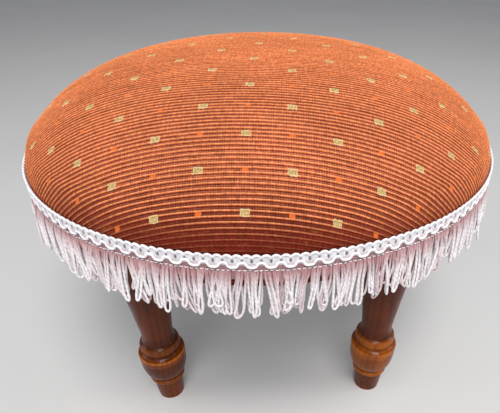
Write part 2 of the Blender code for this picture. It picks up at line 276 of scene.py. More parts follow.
def cloth_look():
    """Ribbed upholstery cloth: terracotta ribs, maroon grooves, cream and orange woven squares."""
    look = Look("cloth", 0.9, Specular_IOR_Level=0.06)
    u, v = look.uv()
    wander = look.times_plus(look.streaks((u, v), (30.0, 160.0)), 0.16, -0.08)
    ribs = look.over(look.minus(v, RIB_START), RIB_PITCH)
    which_rib = look.maths("FLOOR", ribs)
    rib = look.maths("FRACT", look.plus(ribs, wander))
    colour = look.ramp(rib, (
        (0.00, (0.130, 0.014, 0.009)),
        (0.06, (0.400, 0.085, 0.036)),
        (0.14, (0.640, 0.170, 0.056)),
        (0.20, (0.870, 0.270, 0.098)),
        (0.33, (0.950, 0.355, 0.172)),
        (0.42, (0.520, 0.140, 0.062)),
        (0.60, (0.690, 0.208, 0.098)),
        (0.82, (0.480, 0.118, 0.054)),
        (0.93, (0.140, 0.016, 0.011)),
        (1.00, (0.130, 0.014, 0.009)),
    ))
    groove = look.step(look.maths("PINGPONG", rib, 0.5), 0.06, 0.2, 1.0, 0.0)
    # Just past each ridge a band is painted near-black maroon: painted shadow of the ridge
    ridge_shadow_line = look.times(look.step(rib, 0.36, 0.44), look.step(rib, 0.50, 0.60, 1.0, 0.0))
    shelf = look.times(look.step(rib, 0.50, 0.60), look.step(rib, 0.97, 1.0, 1.0, 0.6))
    # Warp: fine threads across the ribs, which break the low side of each rib, and the painted shadow under
    # each ridge, into dots
    jitter = look.streaks((u, which_rib), (260.0, 1.0), 1.0)
    warp = look.wave(look.times_plus(jitter, 5.0, look.times(u, TURN / WARP_PITCH)))
    gaps = look.streaks((u, v), (75.0, 330.0))
    dots = look.times(look.step(warp, 0.35, 0.65), look.step(gaps, 0.36, 0.60, 0.20, 1.0))
    # Here and there a rib gets a dark dash of painted shadow under it
    dash_shadow = look.step(look.streaks((u, which_rib), (85.0, 2.7)), 0.46, 0.64, 0.0, 0.42)
    base = look.plus(dash_shadow, look.step(gaps, 0.36, 0.60, 0.08, 0.32))
    under = look.times(ridge_shadow_line, look.times_plus(dots, 0.58, base))
    under = look.maths("MINIMUM", under, 0.96)
    ticks = look.times(shelf, dots, look.times_plus(dash_shadow, 0.7, 0.42))
    colour = look.mix(look.maths("MAXIMUM", under, ticks), colour, (0.052, 0.005, 0.004))
    colour = look.shade(colour, look.step(warp, 0.1, 0.9, 1.05, 0.93))
    # Towards the rim, where the cloth bends over it across its ribs, it is painted darker maroon: partly the
    # grooves opening and showing more maroon, partly painted shade of the turned-down cloth
    reach = look.length(u, v)
    square = look.maths("POWER", look.over(look.maths("ABSOLUTE", v), reach), 3.0)
    low_part = look.step(rib, 0.30, 0.42)
    opened_and_shaded = look.times(look.step(reach, RIM_LENGTH - 48 * MM, RIM_LENGTH - 12 * MM), square)
    # rim: painted shade, darkest maroon in the last few millimetres above the rim
    rim = look.times(look.step(reach, RIM_LENGTH - 19 * MM, RIM_LENGTH - 3 * MM), square)
    colour = look.mix(look.times(opened_and_shaded, low_part, 0.84), colour, (0.085, 0.007, 0.004))
    colour = look.mix(look.times(rim, 0.85), colour, (0.140, 0.014, 0.007))
    streak = look.streaks((u, v), (620.0, 150.0))
    colour = look.shade(colour, look.step(streak, 0.25, 0.75, 0.80, 1.18))
    fleck = look.streaks((u, v), (480.0, 900.0), 3.0)
    colour = look.shade(colour, look.step(fleck, 0.3, 0.75, 0.80, 1.22))
    patch = look.noise(look.vector(u, v), 14.0, 3.0)
    colour = look.shade(colour, look.step(patch, 0.3, 0.7, 0.90, 1.07))
    gold = look.streaks((u, v), (95.0, 260.0))
    colour = look.mix(look.step(gold, 0.60, 0.78, 0.0, 0.16), colour, (0.72, 0.33, 0.075))
    # Woven squares on a lattice: cream on even places, orange on odd ones
    across = look.over(look.minus(u, MOTIF_START_U), MOTIF_STEP_U)
    along = look.over(look.minus(v, MOTIF_START_V), MOTIF_STEP_V)
    near_across, near_along = look.maths("ROUND", across), look.maths("ROUND", along)
    off_u = look.times(look.minus(across, near_across), MOTIF_STEP_U)
    off_v = look.times(look.minus(along, near_along), MOTIF_STEP_V)
    odd = look.maths("FLOORED_MODULO", look.plus(near_across, near_along), 2.0)
    even = look.minus(1.0, odd)
    ragged = look.times_plus(fleck, 1.8 * MM, -0.9 * MM)
    ragged_u, ragged_v = look.plus(off_u, ragged), look.plus(off_v, ragged)
    cream = look.times(look.band(ragged_u, 2.5 * MM, 0.5 * MM),
                       look.band(ragged_v, 1.9 * MM, 0.4 * MM), even)
    orange = look.times(look.band(ragged_u, 1.4 * MM, 0.7 * MM),
                        look.band(ragged_v, 1.1 * MM, 0.6 * MM), odd)
    dashes = look.streaks((u, v), (1100.0, 2300.0))
    inside = look.times(look.band(off_u, 2.1 * MM, 0.6 * MM), look.band(off_v, 1.4 * MM, 0.5 * MM))
    olive = look.times(look.step(dashes, 0.40, 0.53), inside)
    thread = look.mix(olive, (0.80, 0.60, 0.31), (0.40, 0.27, 0.085))
    colour = look.mix(look.times(cream, 0.95), colour, thread)
    colour = look.mix(look.times(orange, 0.72), colour, (0.86, 0.190, 0.040))
    twist = look.maths("SINE", look.times(look.times_plus(v, 0.6, u), TURN / TWIST_PITCH))
    height = look.plus(look.times(twist, 0.25), fleck)
    height = look.plus(height, look.times(warp, look.times(groove, 0.6)))
    return look.finish(colour, height, 0.25 * MM, 0.8)


def thread_look(name, light, dark, pitch, roughness=0.6, sheen=0.35):
    """Twisted white thread on a cord or yarn: uv runs along it in metres and round it in turns."""
    look = Look(name, roughness, Sheen_Weight=sheen, Sheen_Roughness=0.4)
    u, v = look.uv()
    twist = look.wave(look.times(look.plus(look.over(u, pitch), v), TURN))
    place = look.vector(*look.place())
    patch = look.noise(place, 160.0, 3.0)
    fuzz = look.noise(place, 2600.0, 2.0)
    # The hollows between the twists get painted shade, up to 0.22 of the dark colour
    colour = look.mix(look.step(twist, 0.0, 0.40, 0.22, 0.0), light, dark)
    colour = look.mix(look.mark("shadow"), colour, dark)
    colour = look.shade(colour, look.step(patch, 0.3, 0.7, 0.90, 1.04))
    height = look.plus(twist, look.times(fuzz, 0.5))
    return look.finish(colour, height, 0.18 * MM, 0.7)


def tape_look(name, light, low, dark):
    """Woven tape: upright threads light to low with the weft between them, and dark where it is marked."""
    look = Look(name, 0.8, Sheen_Weight=0.2)
    u, v = look.uv()
    upright = look.maths("SINE", look.times(u, TURN / (0.9 * MM)))
    level = look.maths("SINE", look.times(v, TURN / (0.8 * MM)))
    weave = look.times_plus(look.times(upright, level), 0.5, 0.5)
    wide = look.streaks((u, v), (420.0, 90.0))
    colour = look.mix(look.step(weave, 0.1, 0.8), low, light)
    colour = look.mix(look.mark("shadow"), colour, dark)
    colour = look.shade(colour, look.step(wide, 0.3, 0.7, 0.84, 1.06))
    return look.finish(colour, weave, 0.25 * MM, 0.8)


def varnish_look():
    """Dark brown turned wood under glossy varnish, with straight grain, paler where edges are scuffed by
    wear, and on one leg's rings paler with painted light.
    """
    look = Look("varnished_wood", 0.32, Coat_Weight=0.22, Coat_Roughness=0.06, Specular_IOR_Level=0.08)
    x, y, z = look.place()
    warp = look.streaks((x, y, z), (14.0, 14.0, 5.0), 3.0)
    east = look.plus(look.plus(x, 0.055), look.times(warp, 0.020))
    north = look.plus(look.times_plus(z, 0.10, y), 0.020)
    rings = look.maths("FRACT", look.over(look.length(east, north), GRAIN_PITCH))
    late = look.ramp(rings, ((0.0, 0.10), (0.55, 0.25), (0.88, 0.75), (0.97, 0.50), (1.0, 0.10)))
    pores = look.streaks((x, y, z), (1500.0, 1500.0, 70.0))
    stain = look.noise(look.vector(x, y, look.times(z, 0.6)), 34.0, 3.0)
    colour = look.mix(late, (0.105, 0.016, 0.002), (0.046, 0.006, 0.001))
    colour = look.shade(colour, look.step(pores, 0.35, 0.62, 0.88, 1.05))
    colour = look.shade(colour, look.step(stain, 0.3, 0.72, 0.60, 1.25))
    honey = look.mix(late, (0.470, 0.122, 0.009), (0.310, 0.068, 0.005))
    scuff = look.noise(look.vector(x, y, z), 90.0, 3.0)
    # The wear mark also carries painted light: one leg's turned rings are painted paler and honey-gold
    wear_and_light = look.times(look.mark("wear"), look.step(scuff, 0.30, 0.62, 0.60, 1.0))
    colour = look.mix(wear_and_light, colour, honey)
    colour = look.mix(look.times(look.mark("shadow"), 0.8), colour, (0.018, 0.006, 0.003))
    height = look.plus(look.times(pores, 0.6), look.times(scuff, 0.5))
    rough = look.step(scuff, 0.3, 0.7, 0.24, 0.42)
    return look.finish(colour, height, 0.12 * MM, 0.35, rough)


def bottom_cloth_look():
    """Thin black pressed-fibre cloth with a fine dotted bond pattern."""
    look = Look("bottom_cloth", 0.9, Sheen_Weight=0.15)
    x, y, z = look.place()
    fibre = look.noise(look.vector(x, y, z), 1400.0, 4.0, 0.7)
    dots = look.times(*(look.maths("SINE", look.times(value, TURN / (1.6 * MM))) for value in (x, y)))
    dust = look.noise(look.vector(x, y, z), 26.0, 4.0)
    colour = look.mix(look.step(fibre, 0.35, 0.7), (0.010, 0.010, 0.012), (0.045, 0.044, 0.046))
    colour = look.mix(look.step(dust, 0.5, 0.8, 0.0, 0.35), colour, (0.11, 0.10, 0.09))
    height = look.plus(look.times(dots, 0.5), fibre)
    return look.finish(colour, height, 0.2 * MM, 0.6)


def ply_look():
    """Birch plywood: pale faces with long grain, and layers along its edge."""
    look = Look("plywood", 0.75)
    place = look.place()
    long_grain = look.streaks(place, (9.0, 260.0, 9.0), 4.0)
    layer = look.maths("SINE", look.times(place[2], TURN / (3.1 * MM)))
    colour = look.mix(look.step(long_grain, 0.3, 0.7), (0.62, 0.43, 0.24), (0.44, 0.28, 0.14))
    colour = look.mix(look.step(layer, 0.0, 0.8, 0.0, 0.35), colour, (0.30, 0.17, 0.08))
    return look.finish(colour, long_grain, 0.2 * MM, 0.5)


def metal_look(name, bright, dull, roughness):
    """Plated or blued steel with fine scratches and some dulling."""
    look = Look(name, roughness, Metallic=1.0)
    place = look.place()
    scratch = look.streaks(place, (3000.0, 900.0, 400.0))
    tarnish = look.noise(look.vector(*place), 120.0, 3.0)
    colour = look.mix(look.step(tarnish, 0.4, 0.7), bright, dull)
    rough = look.step(tarnish, 0.3, 0.75, roughness * 0.8, roughness * 1.5)
    return look.finish(colour, scratch, 0.05 * MM, 0.4, rough)


def soft_fill_look(name, light, dark, scale):
    """Foam or batting: fine cells or fibres, slightly yellowed."""
    look = Look(name, 0.95, Sheen_Weight=0.2)
    place = look.vector(*look.place())
    cells = look.noise(place, scale, 4.0, 0.7)
    age = look.noise(place, 18.0, 3.0)
    colour = look.mix(look.step(cells, 0.35, 0.65), dark, light)
    colour = look.shade(colour, look.step(age, 0.3, 0.7, 0.88, 1.03))
    return look.finish(colour, cells, 0.5 * MM, 0.8)


def floor_look():
    """Pale matt floor with a faint change of tone."""
    look = Look("floor", 0.8)
    tone = look.noise(look.vector(*look.place()), 2.5, 3.0)
    return look.finish(look.mix(look.step(tone, 0.3, 0.7), (0.68, 0.675, 0.67), (0.71, 0.705, 0.70)))


# ---------------------------------------------------------------- mesh helpers

def add_piece(name, points, faces, look, corner_uv=None, marks=None, slot=None, replaces=()):
    """A smooth piece that rides on the root body. marks are named numbers, one for each point."""
    mesh = bpy.data.meshes.new(name)
    mesh.from_pydata(np.asarray(points).tolist(), [], [tuple(map(int, f)) for f in faces])
    mesh.polygons.foreach_set("use_smooth", np.ones(len(mesh.polygons), bool))
    if corner_uv is not None:
        layer = mesh.uv_layers.new(name="cloth")
        layer.data.foreach_set("uv", np.asarray(corner_uv, np.float32).ravel())
    for label, values in (marks or {}).items():
        attribute = mesh.attributes.new(label, "FLOAT", "POINT")
        attribute.data.foreach_set("value", np.asarray(values, np.float32).ravel())
    mesh.materials.append(look)
    piece = bpy.data.objects.new(name, mesh)
    bpy.context.scene.collection.objects.link(piece)
    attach(piece, "root")
    if replaces:
        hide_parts(*replaces)
    return piece


def grid_faces(rows, columns, wrap=False, start=0):
    """Quads of a grid of rows and columns of points; wrap joins the last column to the first."""
    last = columns if wrap else columns - 1
    row = np.arange(rows - 1)[:, None] * columns + start
    here = np.arange(last)[None, :]
    beside = (here + 1) % columns
    quads = np.stack([row + here, row + beside, row + columns + beside, row + columns + here], -1)
    return quads.reshape(-1, 4)


def grid_corner_uv(along, across):
    """Corner coordinates of the same quads; along has a value for each row, across for each column edge."""
    a, b = np.meshgrid(np.asarray(along, float), np.asarray(across, float), indexing="ij")
    corners = [(a[:-1, :-1], b[:-1, :-1]), (a[:-1, 1:], b[:-1, 1:]), (a[1:, 1:], b[1:, 1:]),
               (a[1:, :-1], b[1:, :-1])]
    return np.stack([np.stack(c, -1) for c in corners], -2).reshape(-1, 4, 2)


def turn_steps(count):
    """Even angles once round."""
    return np.arange(count) * TURN / count


def unit(vectors):
    return vectors / np.maximum(np.linalg.norm(vectors, axis=-1, keepdims=True), 1e-12)


def tubes(paths, facing, radius, sides, closed=False):
    """Round tubes along many paths at once.

    paths is (tubes, points, 3) and facing, the same shape, is roughly across each path. radius is one number
    or one for each point. Returns points, faces and corner coordinates (length along, share of a turn).
    """
    count, steps, _ = paths.shape
    if closed:
        ahead = np.roll(paths, -1, 1) - np.roll(paths, 1, 1)
    else:
        ahead = np.gradient(paths, axis=1)
    ahead = unit(ahead)
    side = unit(np.cross(ahead, facing))
    up = np.cross(side, ahead)
    turn = turn_steps(sides)
    radius = np.broadcast_to(np.asarray(radius, float), (count, steps))[..., None, None]
    ring = np.cos(turn)[:, None] * up[:, :, None, :] + np.sin(turn)[:, None] * side[:, :, None, :]
    points = paths[:, :, None, :] + radius * ring
    rounds = np.arange(sides + 1) / sides
    faces, corner_uv = [], []
    gaps = np.linalg.norm(np.diff(paths, axis=1), axis=-1)
    lengths = np.concatenate([np.zeros((count, 1)), np.cumsum(gaps, 1)], 1)
    one = grid_faces(steps, sides, wrap=True)
    for k in range(count):
        start = k * steps * sides
        faces.extend(one + start)
        corner_uv.append(grid_corner_uv(lengths[k], rounds).reshape(-1, 2))
        if closed:
            first, last = np.arange(sides) + start, np.arange(sides) + start + (steps - 1) * sides
            after = np.roll(np.arange(sides), -1)
            faces.extend(np.stack([last, last[after], first[after], first], -1))
            end = lengths[k, -1]
            ends = (end, end + np.linalg.norm(paths[k, 0] - paths[k, -1]))
            corner_uv.append(grid_corner_uv(ends, rounds).reshape(-1, 2))
        else:
            faces.append(np.arange(sides)[::-1] + start)
            faces.append(np.arange(sides) + start + (steps - 1) * sides)
            corner_uv.append(np.full((sides, 2), (lengths[k, 0], 0.5)))
            corner_uv.append(np.full((sides, 2), (lengths[k, -1], 0.5)))
    return points.reshape(-1, 3), faces, np.concatenate(corner_uv)


def smooth_through(knots, samples):
    """Points along a Catmull-Rom curve through knots, which is (curves, knots, values)."""
    before = 2 * knots[:, :1] - knots[:, 1:2]
    after = 2 * knots[:, -1:] - knots[:, -2:-1]
    padded = np.concatenate([before, knots, after], 1)
    place = np.linspace(0, knots.shape[1] - 1, samples)
    first = np.minimum(place.astype(int), knots.shape[1] - 2)
    t = (place - first)[None, :, None]
    a, b, c, d = (padded[:, first + k] for k in range(4))
    return 0.5 * (2 * b + (c - a) * t + (2 * a - 5 * b + 4 * c - d) * t**2 + (3 * b - a - 3 * c + d) * t**3)


def turned(name, outline, steps, look, at=(0, 0, 0), marks=None, **extra):
    """A turned solid from (radius, height) points that start and end on the axis."""
    radius, height = np.asarray(outline, float)[1:-1].T
    turn = turn_steps(steps)
    shape = np.stack([np.outer(radius, np.cos(turn)), np.outer(radius, np.sin(turn)),
                      np.outer(height, np.ones(steps))], -1).reshape(-1, 3)
    points = np.concatenate([shape, [(0, 0, outline[0][1]), (0, 0, outline[-1][1])]])
    rows = len(radius)
    faces = list(grid_faces(rows, steps, wrap=True))
    here = np.arange(steps)
    beside = np.roll(here, -1)
    low, high = rows * steps, rows * steps + 1
    faces += [(low, b, a) for a, b in zip(here, beside)]
    faces += [(high, a + (rows - 1) * steps, b + (rows - 1) * steps) for a, b in zip(here, beside)]
    spread = {}
    for label, values in (marks or {}).items():
        values = np.asarray(values, float)
        spread[label] = np.concatenate([np.repeat(values[1:-1], steps), values[[0, -1]]])
    piece = add_piece(name, points, faces, look, marks=spread, **extra)
    piece.location = at
    return piece


# ---------------------------------------------------------------- seat

def seat_section():
    """The cloth's outer face from the dome's top to its hem: arc length, place (r, z) and outward normal."""
    t = np.linspace(0, math.pi / 2, 3000)
    dome = np.stack([SEAT_RADIUS * np.sin(t) ** (2 / DOME_FLATNESS),
                     RIM_HEIGHT + DOME_HEIGHT * np.cos(t) ** (2 / DOME_FULLNESS)], -1)
    bottom = COVER_LOW.z
    bend = np.linspace(0, math.pi / 2, 24)
    wall = np.stack([np.full(60, SEAT_RADIUS), np.linspace(RIM_HEIGHT, bottom + CORNER_RADIUS, 61)[1:]], -1)
    corner = np.stack([SEAT_RADIUS - CORNER_RADIUS * (1 - np.cos(bend)),
                       bottom + CORNER_RADIUS * (1 - np.sin(bend))], -1)[1:]
    under = np.stack([np.linspace(SEAT_RADIUS - CORNER_RADIUS, HEM_RADIUS, 60)[1:],
                      np.full(59, bottom)], -1)
    place = np.concatenate([dome, wall, corner, under])
    length = np.concatenate([[0], np.cumsum(np.linalg.norm(np.diff(place, axis=0), axis=1))])
    even = np.linspace(0, length[-1], 6000)
    place = np.stack([np.interp(even, length, place[:, 0]), np.interp(even, length, place[:, 1])], -1)
    ahead = unit(np.gradient(place, axis=0))
    normal = np.stack([-ahead[:, 1], ahead[:, 0]], -1)
    return even, place, normal


SECTION_LENGTH, SECTION_PLACE, SECTION_NORMAL = seat_section()
HEM_LENGTH = SECTION_LENGTH[-1]
BEND_START = float(SECTION_LENGTH[np.argmax(SECTION_PLACE[:, 1] < COVER_LOW.z + CORNER_RADIUS)])
BEND_END = float(SECTION_LENGTH[np.argmax(SECTION_PLACE[:, 1] < COVER_LOW.z + 0.002 * MM)])
RIM_LENGTH = float(SECTION_LENGTH[np.argmax(SECTION_PLACE[:, 0] >= SEAT_RADIUS - 0.05 * MM)])


def on_seat(length, angle, lift=0.0):
    """The point at that arc length from the dome's top and that angle of the cloth, raised by lift."""
    place = [np.interp(length, SECTION_LENGTH, SECTION_PLACE[:, k]) for k in (0, 1)]
    normal = [np.interp(length, SECTION_LENGTH, SECTION_NORMAL[:, k]) for k in (0, 1)]
    radius = place[0] + normal[0] * lift
    turn = angle + CLOTH_TURN
    return np.stack([radius * np.cos(turn), radius * np.sin(turn), place[1] + normal[1] * lift], -1)


def pulled(u, v):
    """Arc length and angle on the dome of a point of the cloth, with the bow it was pulled to."""
    x = u + BOW_U * (v / PULL_REACH) ** 2
    y = v + BOW_V * (u / PULL_REACH) ** 2
    return np.hypot(x, y), np.arctan2(y, x)


def row_end(v, side, edge):
    """How far each row of the cloth runs to one side before it meets the edge circle, found by halving."""
    near, far = np.zeros_like(v), np.full_like(v, side * edge * 1.2)
    for _ in range(40):
        middle = (near + far) / 2
        inside = pulled(middle, v)[0] < edge
        near, far = np.where(inside, middle, near), np.where(inside, far, middle)
    return near


def rib_rows(edge):
    """Rows of points across the ribs, out to the edge circle: their place v and the cloth's height there."""
    ribs = int(edge / RIB_PITCH) + 1
    share, height = np.array(RIB_SECTION).T
    first = int(round(RIB_START / RIB_PITCH))
    rows_v = RIB_START + (np.arange(-ribs, ribs + 1)[:, None] - first + share[None, :]).ravel() * RIB_PITCH
    rows_h = np.tile(height, 2 * ribs + 1)
    kept = np.abs(rows_v) < edge - 0.3 * MM
    return rows_v[kept], rows_h[kept]


def rib_lift(u, length, rows_h):
    """How far each point stands off the dome. The ribs swell, thin, and are pressed flat under the braid."""
    rng = np.random.default_rng(SEED)
    places = len(RIB_SECTION)
    swell = rng.uniform(0, TURN, (4, len(rows_h) // places + 2))
    rib = (np.arange(len(rows_h)) // places)[:, None]
    waves = sum(np.sin(u / wave * TURN + swell[k, rib]) for k, wave in enumerate(RIB_SWELLS)) / 4
    lift = (rows_h[:, None] * (1 + 0.22 * waves) - 1) * RIB_HEIGHT + RIB_RISE
    lift *= np.clip((RIM_LENGTH - length) / RIB_FADE + 0.9, 0.12, 1)
    return lift + CREASE_RISE * np.exp(-(((RIM_LENGTH - CREASE_DROP - length) / CREASE_WIDTH) ** 2))


def border(rows, columns):
    """The outermost points of a grid, once round."""
    return np.concatenate([np.arange(columns), np.arange(1, rows) * columns + columns - 1,
                           (rows - 1) * columns + np.arange(columns - 2, -1, -1),
                           np.arange(rows - 2, 0, -1) * columns])


def even_stops(angle):
    """Places along the border, even by angle, so that no side of a coarse ring cuts into the pad."""
    turned_by = np.unwrap(angle)
    turned_by = np.maximum.accumulate(np.abs(turned_by - turned_by[0]))
    wanted = np.linspace(0, TURN, COARSE_STEPS, endpoint=False)
    return np.unique(np.append(np.searchsorted(turned_by, wanted), len(angle)))


def cover_rings(edge):
    """(arc length, rise) of the coarse rings: down the side, under the board, and back inside to the top.

    They are close together where the cloth bends: at the board's lower edge, and on the dome near the rim.
    """
    under = [BEND_END, BEND_END + 6 * MM, HEM_LENGTH]
    bend = np.linspace(BEND_START, BEND_END, 8)[:-1]
    outer = np.concatenate([[edge + 1 * MM], bend, under])
    dome = edge * (1 - np.linspace(0, 0.985, 42) ** 1.35)
    inner = np.concatenate([under[::-1], bend[::-1], dome])
    return [(s, 0.0) for s in outer] + [(s, -COVER_THICKNESS) for s in inner]


def make_cover(look):
    """The cloth cover: a finely ribbed outer face on the dome, then side, hem and inner face, all closed."""
    edge = RIM_LENGTH + FINE_EDGE_DROP
    rows_v, rows_h = rib_rows(edge)
    ends = [row_end(rows_v, side, edge) for side in (-1, 1)]
    across = np.linspace(0, 1, CLOTH_COLUMNS)[None, :]
    u = ends[0][:, None] * (1 - across) + ends[1][:, None] * across
    v = np.repeat(rows_v[:, None], CLOTH_COLUMNS, 1)
    length, angle = pulled(u, v)
    points = [on_seat(length, angle, rib_lift(u, length, rows_h)).reshape(-1, 3)]
    flat = [np.stack([u, v], -1).reshape(-1, 2)]
    faces = list(grid_faces(*u.shape))
    loop = border(*u.shape)
    stops = even_stops(angle.ravel()[loop])
    steps = len(stops) - 1
    coarse_angle = angle.ravel()[loop[stops[:-1]]]
    start = u.size
    for k in range(steps):
        span = [int(loop[i % len(loop)]) for i in range(stops[k], stops[k + 1] + 1)]
        faces.append((start + k, start + (k + 1) % steps, *span[::-1]))
    rings = cover_rings(edge)
    for s, rise in rings:
        points.append(on_seat(np.full(steps, s), coarse_angle, rise))
        x, y = s * np.cos(coarse_angle), s * np.sin(coarse_angle)
        x = x - BOW_U * (y / PULL_REACH) ** 2
        flat.append(np.stack([x, y - BOW_V * (x / PULL_REACH) ** 2], -1))
    faces += list(grid_faces(len(rings), steps, wrap=True, start=start)[:, ::-1])
    last = start + (len(rings) - 1) * steps
    points.append(np.array([[0, 0, COVER_HIGH.z - COVER_THICKNESS]]))
    flat.append(np.zeros((1, 2)))
    faces += [(last + k, last + steps, last + (k + 1) % steps) for k in range(steps)]
    corner_uv = np.concatenate(flat)[np.concatenate([np.asarray(f) for f in faces])]
    return add_piece("cover_cloth", np.concatenate(points), faces, look, corner_uv,
                     slot="cover_cloth", replaces=["fabric_cover"])


def dome_under(depth, steps=60):
    """The dome's section, depth under the cloth's face, from the axis out to just above the board."""
    length = np.linspace(0, RIM_LENGTH, steps)
    radius, height = (np.interp(length, SECTION_LENGTH, SECTION_PLACE[:, k]) for k in (0, 1))
    out, up = (np.interp(length, SECTION_LENGTH, SECTION_NORMAL[:, k]) for k in (0, 1))
    radius, height = radius - out * depth, height - up * depth
    floor = FOAM_LOW.z
    kept = height > floor
    radius, height = radius[kept], height[kept]
    return [(0.0, height[0])] + list(zip(radius[1:], height[1:])) + [(radius[-1], floor)]


def make_padding(foam_look, batting_look):
    """The foam block and the batting over it, each a closed body inside the cover."""
    outer = COVER_THICKNESS + INNER_GAP
    inner = dome_under(outer + BATTING_THICKNESS)
    body = dome_under(outer + BATTING_THICKNESS + INNER_GAP)
    foam = turned("padding_foam", [*body, (0.0, body[-1][1])][::-1], 96, foam_look, slot="foam",
                  replaces=["foam_pad"])
    shell = [*dome_under(outer), *inner[::-1]]
    pad = turned("padding_batting", shell[::-1], 96, batting_look, slot="batting", replaces=["wadding"])


# ---------------------------------------------------------------- braid and fringe

def ring_place(angle, radius, height):
    """Points at those angles round the seat; radius and height are one number, or one for each angle."""
    return np.stack([radius * np.cos(angle), radius * np.sin(angle), height + 0 * angle], -1)


def outward(angle):
    return np.stack([np.cos(angle), np.sin(angle), 0 * angle], -1)


def add_band(name, rows, angle, up, look, shadow, node):
    """A band round the seat from rings of points, closed behind. up is each ring's place across it."""
    faces = grid_faces(len(rows) + 1, len(angle), wrap=True) % (len(rows) * len(angle))
    around = np.append(angle, TURN) * TRIM_RADIUS
    corner_uv = grid_corner_uv(up, around)[..., ::-1]
    add_piece(name, np.concatenate(rows), faces, look, corner_uv, {"shadow": shadow}, slot="braid",
              replaces=[node])


def make_band(look):
    """The braid's wrapped band, with slots between its wraps."""
    angle = turn_steps(SCALLOPS * 20)
    share = angle / SCALLOP_ANGLE
    wrap = np.abs(np.cos(share * math.pi * 6))
    across = np.linspace(0, 1, 13)
    low, high = GIMP_LOW.z + 1.9 * MM, GIMP_HIGH.z - 1.8 * MM
    heights = low + across * (high - low)
    crown = np.sin(across * math.pi) ** 0.5
    picot = 0.5 - 0.5 * np.cos(share * 2 * TURN)
    slots = np.outer(np.exp(-(((across - 0.50) / 0.36) ** 2)), np.clip(1.15 - picot * 5.5, 0, 1))
    puff = 0.5 + 0.5 * np.cos(share * TURN)
    relief = 0.45 * MM * crown[:, None] + 0.28 * MM * wrap * (0.4 + 0.6 * puff)
    front = BAND_FACE + relief - SLOT_DEPTH * slots
    rings = [(BAND_BACK, heights[0]), *zip(front, heights), (BAND_BACK, heights[-1])]
    rows = [ring_place(angle, radius, height) for radius, height in rings]
    up = np.linspace(0, high - low + 2 * MM, len(rows) + 1)
    shadow = np.pad(slots.ravel(), len(angle))
    add_band("braid_band", rows, angle, up, look, shadow, "gimp_braid")


def make_braid(thread, slots):
    """Scroll braid: a wrapped band with slots, a picot cord on top and a bold scalloped cord below."""
    make_band(slots)
    # Bold cord along the lower edge: level between scallops, and a deep U at each one
    angle = turn_steps(SCALLOPS * 18)
    share = (angle / SCALLOP_ANGLE) % 1 - 0.5
    dip = 1 / (1 + np.exp((np.abs(share) - 0.29) * 34))
    belly = 1 - 0.18 * (share / 0.29) ** 2 * dip
    height = GIMP_LOW.z + CORD_RADIUS + SCALLOP_DEPTH * (1 - dip * belly)
    radius = (187.1 + 0.2 * np.cos(share * TURN)) * MM
    make_cord("braid_cord", angle, radius, height, CORD_RADIUS, 8, thread)
    # Picots: small arches along the top edge, two for each scallop
    angle = turn_steps(PICOTS * 10)
    share = (angle / (SCALLOP_ANGLE / 2)) % 1 - 0.5
    arch = (0.5 + 0.5 * np.cos(share * TURN)) ** 0.5
    height = GIMP_HIGH.z - PICOT_RADIUS + 0.3 * MM - 1.9 * MM * (1 - arch)
    radius = (186.9 + 0.2 * np.cos(share * TURN)) * MM
    make_cord("braid_picots", angle, radius, height, PICOT_RADIUS, 7, thread)
    # Thin threads in the eye of each scallop
    centres = np.arange(SCALLOPS) * SCALLOP_ANGLE + SCALLOP_ANGLE / 2
    bend = np.linspace(-1, 1, 9)
    paths, facing = [], []
    for level in (0.3, 1.0, 1.7):
        a = centres[:, None] + bend[None, :] * (0.21 + 0.02 * level) * SCALLOP_ANGLE
        paths.append(ring_place(a, EYE_PLACE, GIMP_LOW.z + (1.5 + level + 0.35 * bend[None, :] ** 2) * MM))
        facing.append(outward(a))
    points, faces, corner_uv = tubes(np.concatenate(paths), np.concatenate(facing), EYE_RADIUS, 6)
    add_piece("braid_eyes", points, faces, thread, corner_uv,
              {"shadow": np.full(len(points), 0.55)}, slot="braid")


def make_cord(name, angle, radius, height, thickness, sides, look):
    """A closed cord round the seat."""
    path = ring_place(angle, radius, height)[None]
    points, faces, corner_uv = tubes(path, outward(angle)[None], thickness, sides, closed=True)
    add_piece(name, points, faces, look, corner_uv, {"shadow": np.zeros(len(points))}, slot="braid")


def make_header(tape, thread):
    """The fringe's woven heading, with a row of stitches just under the braid."""
    angle = turn_steps(720)
    low, high = HEADER_LOW.z, HEADER_HIGH.z
    edge, bevel = HEADER_FACE - 0.2 * MM, 0.25 * MM
    section = [(TAPE_BACK, low), (edge, low), (HEADER_FACE, low + bevel),
               *[(HEADER_FACE, z) for z in np.linspace(low + 1 * MM, high - 1 * MM, 8)],
               (HEADER_FACE, high - bevel), (edge, high), (TAPE_BACK, high)]
    rows = [ring_place(angle, radius, z) for radius, z in section]
    up = np.append([z for _, z in section], low)
    shadow = np.repeat([0.3 if z < GIMP_LOW.z else 0.0 for _, z in section], len(angle))
    add_band("fringe_tape", rows, angle, up, tape, shadow, "fringe_header")
    rng = np.random.default_rng(SEED + 1)
    bend = np.linspace(-1, 1, 6)
    half = rng.uniform(0.27, 0.36, STITCHES) * TURN / STITCHES
    a = turn_steps(STITCHES)[:, None] + bend[None, :] * half[:, None]
    z = GIMP_LOW.z - (1.5 + rng.normal(0, 0.12, STITCHES)[:, None]) * MM
    path = ring_place(a, (187.05 - 0.8 * bend[None, :] ** 4) * MM, z)
    points, faces, corner_uv = tubes(path, outward(a), 0.3 * MM, 6)
    add_piece("fringe_stitches", points, faces, thread, corner_uv, {"shadow": np.zeros(len(points))},
              slot="braid")


